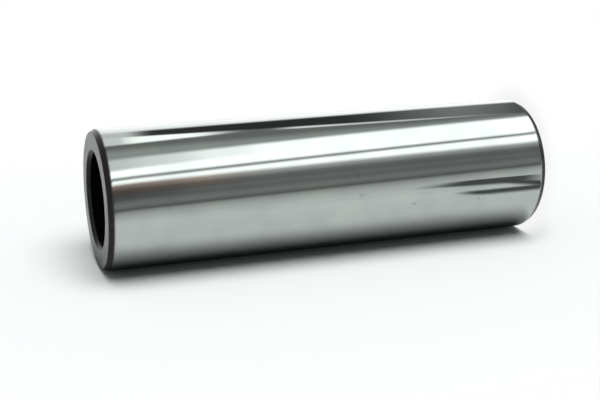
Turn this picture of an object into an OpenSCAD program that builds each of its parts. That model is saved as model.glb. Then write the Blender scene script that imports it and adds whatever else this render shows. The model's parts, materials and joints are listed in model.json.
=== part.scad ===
/* [Pin] */
// Diameter of the ground outside
pin_d = 22; // [18:0.5:40]
// Length from one end face to the other
pin_len = 73; // [30:0.5:120]

/* [Bore] */
// Diameter of the bore that lightens the pin
bore_d = 15; // [6:0.5:19]

/* [Ends] */
// Length of each lead-in chamfer, along the pin
lead_len = 0.85; // [0.4:0.05:3]
// Depth of each lead-in chamfer, taken off the pin's radius
lead_depth = 0.45; // [0.2:0.05:1.5]
// Radius that blends each lead-in chamfer into the ground outside
lead_blend_r = 1; // [0.2:0.1:2]
// Length of the chamfer at each mouth of the bore, along the pin
mouth_len = 0.6; // [0.3:0.05:3]
// Depth of the chamfer at each mouth of the bore, added to the bore's radius
mouth_depth = 0.4; // [0.2:0.05:1.5]
// Radius that takes the burr off the other edges of each end
edge_r = 0.1; // [0.05:0.01:0.2]

/* [Hidden] */

pin_r = pin_d / 2;
bore_r = bore_d / 2;

// Longest straight piece of a rounded edge, and the fewest pieces that one is made of
arc_piece = 0.1;
fewest_pieces = 2;

// Sides of the turned surfaces on screen
round_sides = 180;

// Corners of the wall's section at the upper end, from the outside in to the bore, as [radius, height]
upper_end = [
    [pin_r, pin_len - lead_len],
    [pin_r - lead_depth, pin_len],
    [bore_r + mouth_depth, pin_len],
    [bore_r, pin_len - mouth_len],
];
end_radii = [lead_blend_r, edge_r, edge_r, edge_r];

// The lower end is the upper one turned over, so its corners run from the bore out
last = len(upper_end) - 1;
lower_end = [for (i = [last : -1 : 0]) [upper_end[i].x, pin_len - upper_end[i].y]];
wall_corners = concat(upper_end, lower_end);
wall_radii = concat(end_radii, [for (i = [last : -1 : 0]) end_radii[i]]);

function unit(v) = v / norm(v);
function turned(v, angle) = [v.x * cos(angle) - v.y * sin(angle), v.x * sin(angle) + v.y * cos(angle)];

// Points of the arc of radius r that rounds off a corner, tangent to the lines on both sides of it
function rounded_corner(before, corner, after, r) =
    let (
        way_in = unit(corner - before),
        way_out = unit(after - corner),
        turn = atan2(cross(way_in, way_out), way_in * way_out),
        start = corner - way_in * r * tan(abs(turn) / 2),
        centre = start + turned(way_in, sign(turn) * 90) * r,
        arc_len = r * abs(turn) * PI / 180,
        pieces = max(fewest_pieces, ceil(arc_len / arc_piece))
    )
    [for (i = [0 : pieces]) centre + turned(start - centre, turn * i / pieces)];

// A closed outline with each of its corners rounded to its own radius
function rounded_outline(corners, radii) =
    let (n = len(corners))
    [for (i = [0 : n - 1]) each rounded_corner(corners[(i + n - 1) % n], corners[i], corners[(i + 1) % n], radii[i])];

// The pin is one turned tube: ground outside, flat end faces, lead-in and mouth chamfers at both ends
module piston_pin() {
    color("silver")
        rotate_extrude($fn = round_sides)
            polygon(rounded_outline(wall_corners, wall_radii));
}

piston_pin();
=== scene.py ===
import json
import math

import bpy
from mathutils import Matrix, Vector


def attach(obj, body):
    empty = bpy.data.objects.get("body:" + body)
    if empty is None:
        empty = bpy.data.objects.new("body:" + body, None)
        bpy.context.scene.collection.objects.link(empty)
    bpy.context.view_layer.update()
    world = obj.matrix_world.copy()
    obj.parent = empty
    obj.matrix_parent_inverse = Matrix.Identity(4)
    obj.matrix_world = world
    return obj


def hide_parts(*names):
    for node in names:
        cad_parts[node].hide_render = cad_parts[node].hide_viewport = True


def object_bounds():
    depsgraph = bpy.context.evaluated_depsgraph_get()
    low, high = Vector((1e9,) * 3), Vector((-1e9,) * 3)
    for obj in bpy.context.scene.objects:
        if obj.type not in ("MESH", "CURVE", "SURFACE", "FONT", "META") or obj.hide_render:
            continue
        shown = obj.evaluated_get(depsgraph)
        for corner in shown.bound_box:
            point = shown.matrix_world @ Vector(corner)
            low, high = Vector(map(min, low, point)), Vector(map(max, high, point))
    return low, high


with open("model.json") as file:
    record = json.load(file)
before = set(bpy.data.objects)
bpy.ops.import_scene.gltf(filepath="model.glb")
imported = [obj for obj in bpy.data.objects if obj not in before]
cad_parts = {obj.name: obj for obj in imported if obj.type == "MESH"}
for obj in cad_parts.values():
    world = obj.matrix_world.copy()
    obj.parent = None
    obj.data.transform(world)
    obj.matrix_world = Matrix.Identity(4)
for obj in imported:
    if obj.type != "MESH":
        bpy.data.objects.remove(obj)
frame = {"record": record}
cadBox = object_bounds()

scene = bpy.context.scene
print("frame loaded")

mm = 0.001
cadLow, cadHigh = cadBox
pinRadius = (cadHigh.x - cadLow.x) / 2
pinLength = cadHigh.z - cadLow.z
boreRadius = next(m["dims"]["r_mm"] for m in frame["record"]["mounts"] if m["name"] == "bore") * mm


# small helpers for node trees
def connect(tree, value, socket):
    if isinstance(value, bpy.types.NodeSocket):
        tree.links.new(value, socket)
    elif value is not None:
        socket.default_value = value


def mathNode(tree, operation, *values):
    node = tree.nodes.new("ShaderNodeMath")
    node.operation = operation
    for value, socket in zip(values, node.inputs):
        connect(tree, value, socket)
    return node.outputs[0]


def smoothStep(tree, value, low, high):
    node = tree.nodes.new("ShaderNodeMapRange")
    node.interpolation_type = "SMOOTHSTEP"
    node.clamp = True
    for name, given in {"Value": value, "From Min": low, "From Max": high}.items():
        connect(tree, given, node.inputs[name])
    return node.outputs["Result"]


def rampNode(tree, value, stops):
    node = tree.nodes.new("ShaderNodeValToRGB")
    ramp = node.color_ramp
    while len(ramp.elements) < len(stops):
        ramp.elements.new(1.0)
    for element, (place, color) in zip(ramp.elements, stops):
        element.position = place
        element.color = (*color, 1.0)
    connect(tree, value, node.inputs["Fac"])
    return node.outputs["Color"]


def mixColor(tree, factor, first, second, blend="MIX"):
    node = tree.nodes.new("ShaderNodeMix")
    node.data_type = "RGBA"
    node.blend_type = blend
    for place, value in ((0, factor), (6, first), (7, second)):
        connect(tree, value, node.inputs[place])
    return node.outputs[2]


pinShape = {
    "leadLength": 0.85 * mm,    # chamfers outside, along the pin
    "leadDepth": 0.45 * mm,
    "leadBlend": 1.0 * mm,      # radius where the chamfer runs out into the ground outside
    "leadShare": 0.12,          # the dark lead ends this share of that radius short of its length
    "mouthLength": 0.6 * mm,    # chamfers at the bore's mouths
    "mouthDepth": 0.4 * mm,
    "edgeRadius": 0.1 * mm,
    "sides": 256,
    "arcPieces": 10,            # pieces in each rounded edge
    "longCuts": 24,             # rings along the ground outside and the bore
    "longFrom": 10 * mm,        # a straight piece over this length gets those rings
    "weldWithin": 0.001 * mm,
}


def groupSocket(tree, name, kind, value=None):
    socket = tree.interface.new_socket(name, in_out="INPUT", socket_type=kind)
    if value is not None:
        socket.default_value = value
    return socket


def turnedPinTree(materials):
    tree = bpy.data.node_groups.new("turnedPin", "GeometryNodeTree")
    sizes = {
        "Outside Radius": pinRadius, "Length": pinLength, "Bore Radius": boreRadius,
        "Lead Length": pinShape["leadLength"], "Lead Depth": pinShape["leadDepth"],
        "Lead Blend": pinShape["leadBlend"], "Mouth Length": pinShape["mouthLength"],
        "Mouth Depth": pinShape["mouthDepth"], "Edge Radius": pinShape["edgeRadius"],
        "Long From": pinShape["longFrom"],
    }
    counts = {
        "Sides": pinShape["sides"], "Arc Pieces": pinShape["arcPieces"], "Long Cuts": pinShape["longCuts"],
    }
    for name in sizes:
        groupSocket(tree, name, "NodeSocketFloat")
    for name in counts:
        groupSocket(tree, name, "NodeSocketInt")
    for name in materials:
        groupSocket(tree, name, "NodeSocketMaterial")
    tree.interface.new_socket("Geometry", in_out="OUTPUT", socket_type="NodeSocketGeometry")
    given = tree.nodes.new("NodeGroupInput").outputs

    def node(kind, inputs=None, **settings):
        made = tree.nodes.new(kind)
        for key, value in settings.items():
            setattr(made, key, value)
        for key, value in (inputs or {}).items():
            connect(tree, value, made.inputs[key])
        return made

    def vector(x, y, z):
        return node("ShaderNodeCombineXYZ", {0: x, 1: y, 2: z}).outputs[0]

    def compare(operation, first, second, dataType="FLOAT"):
        made = node("FunctionNodeCompare", operation=operation, data_type=dataType)
        sockets = [s for s in made.inputs if s.enabled and s.name in ("A", "B")]
        connect(tree, first, sockets[0])
        connect(tree, second, sockets[1])
        return made.outputs[0]

    def both(first, second):
        return node("FunctionNodeBooleanMath", {0: first, 1: second}, operation="AND").outputs[0]

    def switch(kind, index, choices):
        made = node("GeometryNodeIndexSwitch", data_type=kind)
        while len(made.index_switch_items) < len(choices):
            made.index_switch_items.new()
        connect(tree, index, made.inputs["Index"])
        for place, choice in enumerate(choices):
            connect(tree, choice, made.inputs[place + 1])
        return made.outputs[0]

    # four corners for the upper end, the same four turned over for the lower one
    halfCorners = 4
    index = node("GeometryNodeInputIndex").outputs[0]
    isLower = compare("GREATER_EQUAL", index, halfCorners, "INT")
    turnedIndex = mathNode(tree, "SUBTRACT", 2 * halfCorners - 1, index)
    corner = node("GeometryNodeSwitch", {"Switch": isLower, "False": index, "True": turnedIndex},
                  input_type="INT").outputs[0]
    place = switch("VECTOR", corner, [
        vector(given["Outside Radius"], given["Lead Length"], 0.0),
        vector(mathNode(tree, "SUBTRACT", given["Outside Radius"], given["Lead Depth"]), 0.0, 0.0),
        vector(mathNode(tree, "ADD", given["Bore Radius"], given["Mouth Depth"]), 0.0, 0.0),
        vector(given["Bore Radius"], given["Mouth Length"], 0.0),
    ])
    radius = switch("FLOAT", corner, [given["Lead Blend"]] + [given["Edge Radius"]] * (halfCorners - 1))
    split = node("ShaderNodeSeparateXYZ", {0: place}).outputs
    upperHeight = mathNode(tree, "SUBTRACT", given["Length"], split["Y"])
    height = node("GeometryNodeSwitch", {"Switch": isLower, "False": upperHeight, "True": split["Y"]},
                  input_type="FLOAT").outputs[0]

    loop = node("GeometryNodeMeshCircle", {"Vertices": 2 * halfCorners}, fill_type="NONE").outputs[0]
    loop = node("GeometryNodeStoreNamedAttribute", {
        "Geometry": loop, "Name": "cornerRadius", "Value": radius,
    }, data_type="FLOAT", domain="POINT").outputs[0]
    sectionPlace = vector(split["X"], 0.0, height)
    loop = node("GeometryNodeSetPosition", {"Geometry": loop, "Position": sectionPlace}).outputs[0]
    section = node("GeometryNodeMeshToCurve", {"Mesh": loop}).outputs[0]
    cornerRadius = node("GeometryNodeInputNamedAttribute", {"Name": "cornerRadius"},
                        data_type="FLOAT").outputs[0]
    section = node("GeometryNodeFilletCurve", {
        "Curve": section, "Count": given["Arc Pieces"], "Radius": cornerRadius, "Limit Radius": True,
    }, mode="POLY").outputs[0]

    # rings along the long straight stretches
    here = node("GeometryNodeInputPosition").outputs[0]
    pointCount = node("GeometryNodeAttributeDomainSize", {"Geometry": section}, component="CURVE").outputs[0]
    after = mathNode(tree, "MODULO", mathNode(tree, "ADD", index, 1), pointCount)
    there = node("GeometryNodeFieldAtIndex", {"Index": after, "Value": here},
                 data_type="FLOAT_VECTOR").outputs[0]
    gap = node("ShaderNodeVectorMath", {0: here, 1: there}, operation="DISTANCE").outputs["Value"]
    cuts = node("GeometryNodeSwitch", {
        "Switch": compare("GREATER_THAN", gap, given["Long From"]), "False": 0, "True": given["Long Cuts"],
    }, input_type="INT").outputs[0]
    section = node("GeometryNodeSubdivideCurve", {"Curve": section, "Cuts": cuts}).outputs[0]

    # the section swept round the axis: a grid whose rows are the sides and columns the section's points
    ringCount = node("GeometryNodeAttributeDomainSize", {"Geometry": section}, component="CURVE").outputs[0]
    columns = mathNode(tree, "ADD", ringCount, 1)
    rows = mathNode(tree, "ADD", given["Sides"], 1)
    grid = node("GeometryNodeMeshGrid", {
        "Size X": 1.0, "Size Y": 1.0, "Vertices X": rows, "Vertices Y": columns,
    })
    sectionIndex = mathNode(tree, "MODULO", mathNode(tree, "MODULO", index, columns), ringCount)
    row = mathNode(tree, "FLOOR", mathNode(tree, "DIVIDE", mathNode(tree, "ADD", index, 0.5), columns))
    angle = mathNode(tree, "MULTIPLY", mathNode(tree, "DIVIDE", row, given["Sides"]), math.tau)
    sample = node("GeometryNodeSampleIndex", {"Geometry": section, "Value": here, "Index": sectionIndex},
                  data_type="FLOAT_VECTOR", domain="POINT").outputs[0]
    swept = node("ShaderNodeVectorRotate", {"Vector": sample, "Axis": (0, 0, 1), "Angle": angle}).outputs[0]
    pin = node("GeometryNodeSetPosition", {"Geometry": grid.outputs["Mesh"], "Position": swept}).outputs[0]
    pin = node("GeometryNodeStoreNamedAttribute", {
        "Geometry": pin, "Name": "UVMap", "Value": grid.outputs["UV Map"],
    }, data_type="FLOAT2", domain="CORNER").outputs[0]
    weld = {"Geometry": pin, "Distance": pinShape["weldWithin"]}
    pin = node("GeometryNodeMergeByDistance", weld).outputs[0]
    pin = node("GeometryNodeSetShadeSmooth", {"Geometry": pin}).outputs[0]
    pin = node("GeometryNodeRealizeInstances", {"Geometry": pin}).outputs[0]

    # each turned surface gets its own finish, told apart by distance from the axis and from the nearer end
    at = node("ShaderNodeSeparateXYZ", {0: here}).outputs
    flat = vector(at["X"], at["Y"], 0.0)
    out = node("ShaderNodeVectorMath", {0: flat}, operation="LENGTH").outputs["Value"]
    fromEnd = mathNode(tree, "MINIMUM", at["Z"], mathNode(tree, "SUBTRACT", given["Length"], at["Z"]))
    rim = mathNode(tree, "MULTIPLY", given["Edge Radius"], 0.5)
    radii = mathNode(tree, "ADD", given["Outside Radius"], given["Bore Radius"])
    middle = mathNode(tree, "MULTIPLY", radii, 0.5)
    outer = compare("GREATER_THAN", out, middle)
    inner = compare("LESS_EQUAL", out, middle)
    leadRunOut = mathNode(tree, "MULTIPLY", given["Lead Blend"], pinShape["leadShare"])
    leadEnd = mathNode(tree, "SUBTRACT", given["Lead Length"], leadRunOut)
    zones = {
        "Ground": outer,
        "Lead": both(outer, compare("LESS_THAN", fromEnd, leadEnd)),
        "Bore": inner,
        "Mouth": both(inner, compare("LESS_THAN", fromEnd, given["Mouth Length"])),
        "Face": compare("LESS_THAN", fromEnd, rim),
    }
    for name, chosen in zones.items():
        pin = node("GeometryNodeSetMaterial", {
            "Geometry": pin, "Selection": chosen, "Material": given[name],
        }).outputs[0]
    result = node("NodeGroupOutput")
    tree.links.new(pin, result.inputs["Geometry"])
    return tree, {**sizes, **counts, **materials}


def makePin(materials):
    tree, values = turnedPinTree(materials)
    carrier = bpy.data.objects.new("pinCarrier", bpy.data.meshes.new("pinCarrier"))
    scene.collection.objects.link(carrier)
    modifier = carrier.modifiers.new("turned", "NODES")
    modifier.node_group = tree
    for item in tree.interface.items_tree:
        if item.item_type == "SOCKET" and item.in_out == "INPUT":
            modifier[item.identifier] = values[item.name]
    evaluated = carrier.evaluated_get(bpy.context.evaluated_depsgraph_get())
    mesh = bpy.data.meshes.new_from_object(evaluated)
    bpy.data.objects.remove(carrier)
    pin = bpy.data.objects.new("turned_pin", mesh)
    scene.collection.objects.link(pin)
    return pin


def newMaterial(name):
    material = bpy.data.materials.new(name)
    material.use_nodes = True
    return material, material.node_tree, material.node_tree.nodes["Principled BSDF"]


def objectAxes(tree):
    where = tree.nodes.new("ShaderNodeTexCoord").outputs["Object"]
    axes = tree.nodes.new("ShaderNodeSeparateXYZ")
    tree.links.new(where, axes.inputs[0])
    return axes.outputs


def joinAxes(tree, x, y, z):
    node = tree.nodes.new("ShaderNodeCombineXYZ")
    for value, socket in zip((x, y, z), node.inputs):
        connect(tree, value, socket)
    return node.outputs[0]


def fromAxis(tree, x, y):
    return mathNode(tree, "SQRT", mathNode(tree, "ADD", mathNode(tree, "MULTIPLY", x, x),
                                           mathNode(tree, "MULTIPLY", y, y)))


def noiseAt(tree, where, scale, detail=2.0):
    noise = tree.nodes.new("ShaderNodeTexNoise")
    noise.inputs["Scale"].default_value = scale
    noise.inputs["Detail"].default_value = detail
    tree.links.new(where, noise.inputs["Vector"])
    return noise.outputs["Fac"]


def bumpFrom(tree, height, depth, shader):
    bump = tree.nodes.new("ShaderNodeBump")
    bump.inputs["Distance"].default_value = depth
    tree.links.new(height, bump.inputs["Height"])
    tree.links.new(bump.outputs["Normal"], shader.inputs["Normal"])


def spread(tree, factor, low, high):
    return mathNode(tree, "ADD", mathNode(tree, "MULTIPLY", factor, high - low), low)


tintBand = (0.35, 0.65)         # noise between these values goes from a finish's deep tint to its pale one


def tintFrom(tree, factor, finish):
    return rampNode(tree, factor, list(zip(tintBand, (finish["deep"], finish["pale"]))))


cloudScale = 420                # stain on the turned surfaces, about 2 mm across
turnedDetail = 3.0

groundFinish = {
    "pale": (0.465, 0.503, 0.476),
    "deep": (0.422, 0.456, 0.448),
    "blotchScale": 170,         # cloudy tint, a few mm across
    "lineScale": 26,            # grinding lines: long round the pin, fine along it
    "lineStretch": 70,
    "lineDetail": 4.0,
    "roughness": (0.04, 0.075),
    "bumpDepth": 0.0004 * mm,
    "stain": (0.028, 0.027, 0.027),     # the lead's dark finish runs out over the ground here
    "stainFrom": 0.70 * mm,
    "stainTo": 1.10 * mm,
    "handling": 0.26,           # how far the handling marks darken the steel
    "markGrain": 1900,          # fineness of the grain that breaks them up, and where it shows
    "grainBand": (0.38, 0.58),
    "markRim": (0.3, 1.2),      # each fades out between these shares of its half sizes
    # each mark's place across and along the pin, and its half sizes
    "marks": [
        (3.5 * mm, 33.7 * mm, 0.9 * mm, 0.16 * mm), (0.4 * mm, 33.1 * mm, 0.3 * mm, 0.8 * mm),
        (-1.9 * mm, 23.8 * mm, 0.3 * mm, 0.8 * mm), (-2.1 * mm, 12.4 * mm, 0.4 * mm, 0.3 * mm),
        (-2.3 * mm, 11.4 * mm, 0.35 * mm, 0.28 * mm),
    ],
}


def groundSteel():
    # the ground and polished outside, which mirrors what stands round it
    material, tree, shader = newMaterial("ground_steel")
    x, y, z = objectAxes(tree)
    blotch = noiseAt(tree, joinAxes(tree, x, y, z), groundFinish["blotchScale"])
    stretched = joinAxes(tree, x, y, mathNode(tree, "MULTIPLY", z, groundFinish["lineStretch"]))
    lines = noiseAt(tree, stretched, groundFinish["lineScale"], groundFinish["lineDetail"])
    tint = tintFrom(tree, blotch, groundFinish)
    grain = noiseAt(tree, joinAxes(tree, x, y, z), groundFinish["markGrain"], turnedDetail)
    grain = smoothStep(tree, grain, *groundFinish["grainBand"])
    handling = mathNode(tree, "MULTIPLY", grain, groundFinish["handling"])
    for across, along, halfAcross, halfAlong in groundFinish["marks"]:
        offAcross = mathNode(tree, "DIVIDE", mathNode(tree, "SUBTRACT", x, across), halfAcross)
        offAlong = mathNode(tree, "DIVIDE", mathNode(tree, "SUBTRACT", z, along), halfAlong)
        offMark = smoothStep(tree, fromAxis(tree, offAcross, offAlong), *groundFinish["markRim"])
        inMark = mathNode(tree, "SUBTRACT", 1.0, offMark)
        inMark = mathNode(tree, "MULTIPLY", inMark, mathNode(tree, "LESS_THAN", y, 0.0))
        tint = mixColor(tree, mathNode(tree, "MULTIPLY", inMark, handling), tint, (0, 0, 0, 1))
    fromEnd = mathNode(tree, "MINIMUM", z, mathNode(tree, "SUBTRACT", pinLength, z))
    clean = smoothStep(tree, fromEnd, groundFinish["stainFrom"], groundFinish["stainTo"])
    tree.links.new(mixColor(tree, clean, (*groundFinish["stain"], 1), tint), shader.inputs["Base Color"])
    shader.inputs["Metallic"].default_value = 1.0
    tree.links.new(spread(tree, lines, *groundFinish["roughness"]), shader.inputs["Roughness"])
    bumpFrom(tree, lines, groundFinish["bumpDepth"], shader)
    return material


turnedFinishes = {
    # lines are turning marks: fine across the cut, unbroken round the pin
    "Lead": {
        "name": "dark_lead", "pale": (0.031, 0.028, 0.030), "deep": (0.019, 0.017, 0.018),
        "roughness": (0.30, 0.42), "linesPerMm": 9, "bumpDepth": 0.0015 * mm,
    },
    "Face": {
        "name": "satin_face", "pale": (0.100, 0.106, 0.102), "deep": (0.072, 0.077, 0.075),
        "roughness": (0.28, 0.40), "linesPerMm": 7, "bumpDepth": 0.0015 * mm,
    },
    "Mouth": {
        "name": "dark_mouth", "pale": (0.026, 0.028, 0.026), "deep": (0.014, 0.015, 0.014),
        "roughness": (0.32, 0.45), "linesPerMm": 9, "bumpDepth": 0.0015 * mm,
    },
    "Bore": {
        "name": "black_bore", "pale": (0.0050, 0.0062, 0.0056), "deep": (0.0020, 0.0026, 0.0023),
        "roughness": (0.45, 0.60), "linesPerMm": 4, "bumpDepth": 0.003 * mm,
    },
}


def turnedSteel(finish):
    material, tree, shader = newMaterial(finish["name"])
    x, y, z = objectAxes(tree)
    perMetre = finish["linesPerMm"] / mm
    across = joinAxes(tree, mathNode(tree, "MULTIPLY", fromAxis(tree, x, y), perMetre),
                      mathNode(tree, "MULTIPLY", z, perMetre), mathNode(tree, "MULTIPLY", x, cloudScale))
    lines = noiseAt(tree, across, 1.0, turnedDetail)
    cloud = noiseAt(tree, joinAxes(tree, x, y, z), cloudScale, turnedDetail)
    both = mathNode(tree, "MULTIPLY", mathNode(tree, "ADD", lines, cloud), 0.5)
    tree.links.new(tintFrom(tree, both, finish), shader.inputs["Base Color"])
    shader.inputs["Metallic"].default_value = 1.0
    tree.links.new(spread(tree, cloud, *finish["roughness"]), shader.inputs["Roughness"])
    bumpFrom(tree, lines, finish["bumpDepth"], shader)
    return material


finishes = {"Ground": groundSteel()}
for zone, finish in turnedFinishes.items():
    finishes[zone] = turnedSteel(finish)
pin = makePin(finishes)
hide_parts("piston_pin")
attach(pin, "root")
print("pin made:", len(pin.data.polygons), "faces")

stage = {
    "paleColor": (0.92, 0.92, 0.92),
    "benchNear": 0.130,         # the bench reaches this far from the pin towards the camera
    "benchMirrored": 0.045,     # and this far where the pin mirrors it
    "benchFar": 3.0,
    "benchSide": 2.0,
    "floorHalf": 2.5,
    "benchFade": (0.024, 0.076),    # each fades into the white surround between these distances from the pin
    "floorFade": (0.011, 0.0145),
    "floorGlow": 0.88,          # share of the floor that shines by itself, so its shade is soft
    "mirroredAfter": 0.03,      # share of the bench's light that the pin throws back on to it
    "edgeShade": 0.09,          # the mirrored bench darkens by this share at its edge, over this width
    "edgeWidth": 0.016,
    "edgeSoft": 0.007,          # and gives way to the surround this far to each side of the edge
    "contactShade": 0.78,       # it darkens by this share close to where the pin touches it
    "contactFade": (0.002, 0.0158),
    "contactPastEnds": 8.0,     # past the pin's ends that shade runs out this many times faster
    "paintedStreakShade": 0.88,         # painted dark streaks beside the pin, off to one side, that only the pin mirrors: painted reflections
    # each painted streak's two ends across the bench and along the pin, then its half width and its soft
    # rim's
    "paintedStreaks": [
        (-0.028, -0.011, -0.028, 0.001, 0.0015, 0.0050), (-0.030, -0.016, -0.050, -0.017, 0.0020, 0.0060),
        (-0.058, -0.015, -0.105, -0.044, 0.0060, 0.0170),
    ],
    "gap": 0.02 * mm,
}


def mixShader(tree, factor, first, second):
    mix = tree.nodes.new("ShaderNodeMixShader")
    for value, socket in zip((factor, first, second), mix.inputs):
        connect(tree, value, socket)
    return mix.outputs[0]


def farShare(tree, across, fade, pastEnds=1.0):
    # 0 close to the pin, 1 far from it, counted past its ends too
    z = objectAxes(tree)[2]
    pastUpper = mathNode(tree, "SUBTRACT", z, pinLength)
    beyond = mathNode(tree, "MAXIMUM", pastUpper, mathNode(tree, "MULTIPLY", z, -1.0))
    beyond = mathNode(tree, "MULTIPLY", mathNode(tree, "MAXIMUM", beyond, 0.0), pastEnds)
    return smoothStep(tree, fromAxis(tree, across, beyond), *fade)


def paintedStreakShare(tree, y, z, streak):
    # 1 on a straight painted streak on the bench, 0 beside it
    y0, z0, y1, z1, half, rim = streak
    goY, goZ = y1 - y0, z1 - z0
    length = goY * goY + goZ * goZ
    fromY = mathNode(tree, "SUBTRACT", y, y0)
    fromZ = mathNode(tree, "SUBTRACT", z, z0)
    along = mathNode(tree, "ADD", mathNode(tree, "MULTIPLY", fromY, goY / length),
                     mathNode(tree, "MULTIPLY", fromZ, goZ / length))
    along = mathNode(tree, "MINIMUM", mathNode(tree, "MAXIMUM", along, 0.0), 1.0)
    offY = mathNode(tree, "SUBTRACT", fromY, mathNode(tree, "MULTIPLY", along, goY))
    offZ = mathNode(tree, "SUBTRACT", fromZ, mathNode(tree, "MULTIPLY", along, goZ))
    return mathNode(tree, "SUBTRACT", 1.0, smoothStep(tree, fromAxis(tree, offY, offZ), half, half + rim))


def stageMaterial(name, fade, glow=0.0, mirrored=False):
    # pale and matte, clear from behind and far from the pin
    material = bpy.data.materials.new(name)
    material.use_nodes = True
    tree = material.node_tree
    tree.nodes.clear()
    rays = tree.nodes.new("ShaderNodeLightPath").outputs
    matte = tree.nodes.new("ShaderNodeBsdfDiffuse")
    matte.inputs["Color"].default_value = (*stage["paleColor"], 1)
    clear = tree.nodes.new("ShaderNodeBsdfTransparent")
    behind = tree.nodes.new("ShaderNodeNewGeometry").outputs["Backfacing"]
    x, y, z = objectAxes(tree)
    seenFade = mathNode(tree, "MULTIPLY", rays["Is Camera Ray"], farShare(tree, fromAxis(tree, x, y), fade))
    throughBack = mathNode(tree, "MULTIPLY", mathNode(tree, "GREATER_THAN", rays["Transparent Depth"], 0.5),
                           rays["Is Glossy Ray"])
    hidden = mathNode(tree, "MAXIMUM", mathNode(tree, "MAXIMUM", behind, seenFade), throughBack)
    # as the pin mirrors it, the bench gets painted shade at its edge and where the pin touches it, and
    # painted dark streaks that show only as reflections
    if mirrored:
        edge = -stage["benchMirrored"]
        soft = stage["edgeSoft"]
        onBench = smoothStep(tree, y, edge - soft, edge + soft)
        past = mathNode(tree, "MULTIPLY", rays["Is Glossy Ray"], mathNode(tree, "SUBTRACT", 1.0, onBench))
        streak = 0.0
        for place in stage["paintedStreaks"]:
            streak = mathNode(tree, "MAXIMUM", streak, paintedStreakShare(tree, y, z, place))
        past = mathNode(tree, "MULTIPLY", past, mathNode(tree, "SUBTRACT", 1.0, streak))
        hidden = mathNode(tree, "MAXIMUM", hidden, past)
        inside = smoothStep(tree, y, edge, edge + stage["edgeWidth"])
        edgeShade = mathNode(tree, "MULTIPLY", mathNode(tree, "SUBTRACT", 1.0, inside), stage["edgeShade"])
        away = farShare(tree, y, stage["contactFade"], stage["contactPastEnds"])
        touching = mathNode(tree, "SUBTRACT", 1.0, away)
        contactShade = mathNode(tree, "MULTIPLY", touching, stage["contactShade"])
        shade = mathNode(tree, "MAXIMUM", edgeShade, contactShade)
        shade = mathNode(tree, "MAXIMUM", shade, mathNode(tree, "MULTIPLY", streak, stage["paintedStreakShade"]))
        thrownBack = mathNode(tree, "MULTIPLY", mathNode(tree, "GREATER_THAN", rays["Diffuse Depth"], 0.5),
                              1.0 - stage["mirroredAfter"])
        shade = mathNode(tree, "MAXIMUM", shade, thrownBack)
        kept = mathNode(tree, "SUBTRACT", 1.0, mathNode(tree, "MULTIPLY", shade, rays["Is Glossy Ray"]))
        pale = (*stage["paleColor"], 1)
        tree.links.new(mixColor(tree, kept, (0, 0, 0, 1), pale), matte.inputs["Color"])
    surface = matte.outputs[0]
    if glow:
        shine = tree.nodes.new("ShaderNodeEmission")
        surface = mixShader(tree, glow, surface, shine.outputs[0])
    out = tree.nodes.new("ShaderNodeOutputMaterial")
    tree.links.new(mixShader(tree, hidden, surface, clear.outputs[0]), out.inputs["Surface"])
    return material


def stagePlane(name, corners, material):
    mesh = bpy.data.meshes.new(name)
    mesh.from_pydata(corners, [], [(0, 1, 2, 3)])
    plane = bpy.data.objects.new(name, mesh)
    scene.collection.objects.link(plane)
    mesh.materials.append(material)
    return plane


def makeStage():
    # the pin's side touches the bench, and its lower end stands on the floor
    benchX = cadLow.x - stage["gap"]
    near, far, side = -stage["benchNear"], stage["benchFar"], stage["benchSide"]
    corners = [(benchX, near, -side), (benchX, far, -side), (benchX, far, side), (benchX, near, side)]
    stagePlane("bench", corners, stageMaterial("pale_bench", stage["benchFade"], mirrored=True))
    half = stage["floorHalf"]
    floorZ = cadLow.z - stage["gap"]
    corners = [(-half, -half, floorZ), (half, -half, floorZ), (half, half, floorZ), (-half, half, floorZ)]
    floorMaterial = stageMaterial("pale_floor", stage["floorFade"], glow=stage["floorGlow"])
    floor = stagePlane("floor", corners, floorMaterial)
    floor.visible_glossy = False
    floor.visible_diffuse = False
    floor.visible_shadow = False


makeStage()

softbox = {
    "share": 0.85,              # of the plain level; the even surround gives the rest
    "toward": (1.0, -0.28, -0.05),
    "spread": 50,               # degrees across, as the pin sees it
}


def makeSoftbox():
    data = bpy.data.lights.new("softbox", "SUN")
    data.energy = math.pi * softbox["share"]
    data.angle = math.radians(softbox["spread"])
    lamp = bpy.data.objects.new("softbox", data)
    lamp.rotation_euler = Vector(softbox["toward"]).to_track_quat("Z", "Y").to_euler()
    lamp.visible_glossy = False
    scene.collection.objects.link(lamp)


makeSoftbox()

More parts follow.
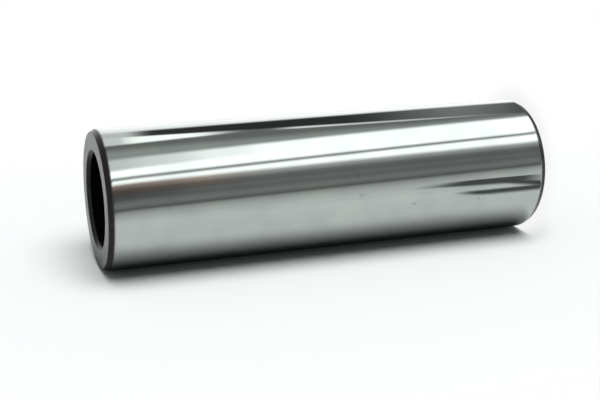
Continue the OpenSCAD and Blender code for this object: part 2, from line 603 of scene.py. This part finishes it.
plain = (1, 1, 1)
greenish = (0.97, 1, 0.98)
warm = (1.28, 1, 0.90)
bluish = (0.99, 1, 1.07)
purple = (1.04, 1, 1.06)
surround = {
    "even": 0.27,               # level of the even light on matte things
    "evenTint": (0.90, 1.0, 1.0),
    "skew": 36.0,               # degrees that the strips lean per unit of height
    "levelHeight": 0.029,       # height at which a strip stands at its written angle
    "highest": -0.12,           # the strips stand upright above this height
    "topHeight": -0.18,         # and the single ones bend below this height
    "bendMost": 0.42,           # the bend stops growing at this depth
    "brightest": 2.2,
    "span": 200.0,              # the strips are written for angles up to this far either way
    "afterMatte": 0.03,         # share of the strips' light that the pin throws on to the bench
    "above": 0.85,              # brightness overhead, where the strips have faded out
    "aboveFade": (0.2, 0.6),
    # (degrees round the pin, brightness, tint), right round
    "round": [
        (-180, 1.50, plain), (-168, 1.40, plain), (-158, 0.35, plain), (-140, 0.25, plain),
        (-131, 1.60, plain), (-112, 2.20, plain), (-103, 0.60, plain), (-72, 0.48, plain),
        (-60, 0.94, plain), (-30, 0.90, plain), (-20, 0.72, plain), (-13.5, 0.52, greenish),
        (-9.2, 0.16, greenish), (-5, 0.28, greenish), (-2, 0.31, plain), (6.8, 0.21, plain),
        (11, 0.26, plain), (16, 0.205, plain), (22, 0.24, plain), (30, 0.66, plain),
        (35.2, 2.20, plain), (200, 2.20, plain),
    ],
    # strips painted over one another: angles where each fades in and out, how far it leans, and the
    # depths of direction between which it fades in and out along the pin
    "strips": [
        {"rise": (12, 19), "fall": (29, 34), "tint": warm, "times": True, "fadeOut": (0.05, 0.13)},
        {"rise": (3, 11), "fall": (28.5, 33), "brightness": 0.47, "times": True, "fadeOut": (-0.03, 0.12)},
        {"rise": (35.4, 40.6), "fall": (40.6, 45.6), "lean": 24, "brightness": 0.43, "tint": purple},
        {"rise": (51.8, 57.8), "lean": 60, "brightness": 0.80, "tint": bluish, "fadeOut": (-0.06, 0.16)},
        {"rise": (70.5, 78.5), "lean": 37, "brightness": 0.51, "tint": greenish},
        {"rise": (84.5, 99.5), "brightness": 0.26, "tint": greenish},
        {"rise": (101.5, 106.5), "lean": 62, "brightness": 2.1,
         "fadeIn": (-0.025, 0.025), "fadeOut": (0.06, 0.11)},
        {"rise": (113.5, 118), "lean": -55, "brightness": 1.6,
         "fadeIn": (0.125, 0.155), "fadeOut": (0.24, 0.34)},
        {"rise": (120.7, 125.7), "lean": -77, "brightness": 0.05, "tint": greenish,
         "fadeIn": (-0.01, 0.028), "fadeOut": (0.18, 0.5)},
        {"rise": (136, 146), "brightness": 1.5},
    ],
}


def paintStrip(tree, colour, angle, depth, strip):
    place = mathNode(tree, "SUBTRACT", angle, mathNode(tree, "MULTIPLY", depth, strip.get("lean", 0.0)))
    share = smoothStep(tree, place, *strip["rise"])
    fades = [(place, strip.get("fall")), (depth, strip.get("fadeOut"))]
    for value, span in fades:
        if span:
            left = mathNode(tree, "SUBTRACT", 1.0, smoothStep(tree, value, *span))
            share = mathNode(tree, "MULTIPLY", share, left)
    if "fadeIn" in strip:
        share = mathNode(tree, "MULTIPLY", share, smoothStep(tree, depth, *strip["fadeIn"]))
    level = strip.get("brightness", 1.0)
    times = strip.get("times", False)
    scale = 1.0 if times else surround["brightest"]
    own = (*(level / scale * part for part in strip.get("tint", plain)), 1)
    return mixColor(tree, share, colour, own, "MULTIPLY" if times else "MIX")


def makeWorld():
    # matte things get an even light, the camera sees white, and only the metal mirrors the strips
    world = bpy.data.worlds.new("studio")
    scene.world = world
    world.use_nodes = True
    tree = world.node_tree
    tree.nodes.clear()
    direction = tree.nodes.new("ShaderNodeTexCoord").outputs["Generated"]
    axes = tree.nodes.new("ShaderNodeSeparateXYZ")
    tree.links.new(direction, axes.inputs[0])
    x, y, z = axes.outputs
    turn = mathNode(tree, "DEGREES", mathNode(tree, "ARCTAN2", x, mathNode(tree, "MULTIPLY", y, -1.0)))
    height = mathNode(tree, "MINIMUM", z, surround["highest"])
    height = mathNode(tree, "SUBTRACT", height, surround["levelHeight"])
    angle = mathNode(tree, "ADD", turn, mathNode(tree, "MULTIPLY", height, surround["skew"]))
    depth = mathNode(tree, "SUBTRACT", surround["topHeight"], z)
    depth = mathNode(tree, "MINIMUM", mathNode(tree, "MAXIMUM", depth, 0.0), surround["bendMost"])
    span, top = surround["span"], surround["brightest"]
    stops = []
    for at, value, tint in surround["round"]:
        stops.append(((at + span) / (2 * span), [value / top * part for part in tint]))
    share = mathNode(tree, "DIVIDE", mathNode(tree, "ADD", angle, span), 2 * span)
    colour = rampNode(tree, share, stops)
    for strip in surround["strips"]:
        colour = paintStrip(tree, colour, angle, depth, strip)
    overhead = [surround["above"] / top] * 3
    colour = mixColor(tree, smoothStep(tree, z, *surround["aboveFade"]), colour, (*overhead, 1))

    rays = tree.nodes.new("ShaderNodeLightPath").outputs

    def background(color, strength):
        node = tree.nodes.new("ShaderNodeBackground")
        connect(tree, color, node.inputs["Color"])
        connect(tree, strength, node.inputs["Strength"])
        return node.outputs[0]

    matteBefore = mathNode(tree, "GREATER_THAN", rays["Diffuse Depth"], 0.5)
    dimmed = mathNode(tree, "MULTIPLY", matteBefore, top * (1 - surround["afterMatte"]))
    mirrored = background(colour, mathNode(tree, "SUBTRACT", top, dimmed))
    even = background((*surround["evenTint"], 1), surround["even"])
    white = background((1, 1, 1, 1), 1.0)
    lit = mixShader(tree, rays["Is Glossy Ray"], even, mirrored)
    seen = mixShader(tree, rays["Is Camera Ray"], lit, white)
    out = tree.nodes.new("ShaderNodeOutputWorld")
    tree.links.new(seen, out.inputs["Surface"])


makeWorld()
print("stage and light made")

cameraPlace = {
    "aim": (-5.941 * mm, 8.241 * mm, 36.464 * mm),
    "distance": 196.85 * mm,
    "azimuth": 18.848,          # degrees, going round from -Y towards +X
    "elevation": 19.12,
    "roll": 95.51,
    "focalPixels": 1143,        # in a picture this many pixels wide
    "pictureWidth": 600,
    "sensorWidth": 36.0,
    "nearest": 1 * mm,
}


def makeCamera():
    data = bpy.data.cameras.new("camera")
    data.sensor_width = cameraPlace["sensorWidth"]
    data.lens = data.sensor_width * cameraPlace["focalPixels"] / cameraPlace["pictureWidth"]
    data.clip_start = cameraPlace["nearest"]
    camera = bpy.data.objects.new("camera", data)
    scene.collection.objects.link(camera)
    azimuth = math.radians(cameraPlace["azimuth"])
    elevation = math.radians(cameraPlace["elevation"])
    level = math.cos(elevation)
    back = Vector((math.sin(azimuth) * level, -math.cos(azimuth) * level, math.sin(elevation)))
    unrolled = back.to_track_quat("Z", "Y").to_matrix().to_4x4()
    roll = Matrix.Rotation(math.radians(-cameraPlace["roll"]), 4, "Z")
    place = Matrix.Translation(Vector(cameraPlace["aim"]) + back * cameraPlace["distance"])
    camera.matrix_world = place @ unrolled @ roll
    scene.camera = camera


makeCamera()
scene.view_settings.view_transform = "Standard"
print("camera made")
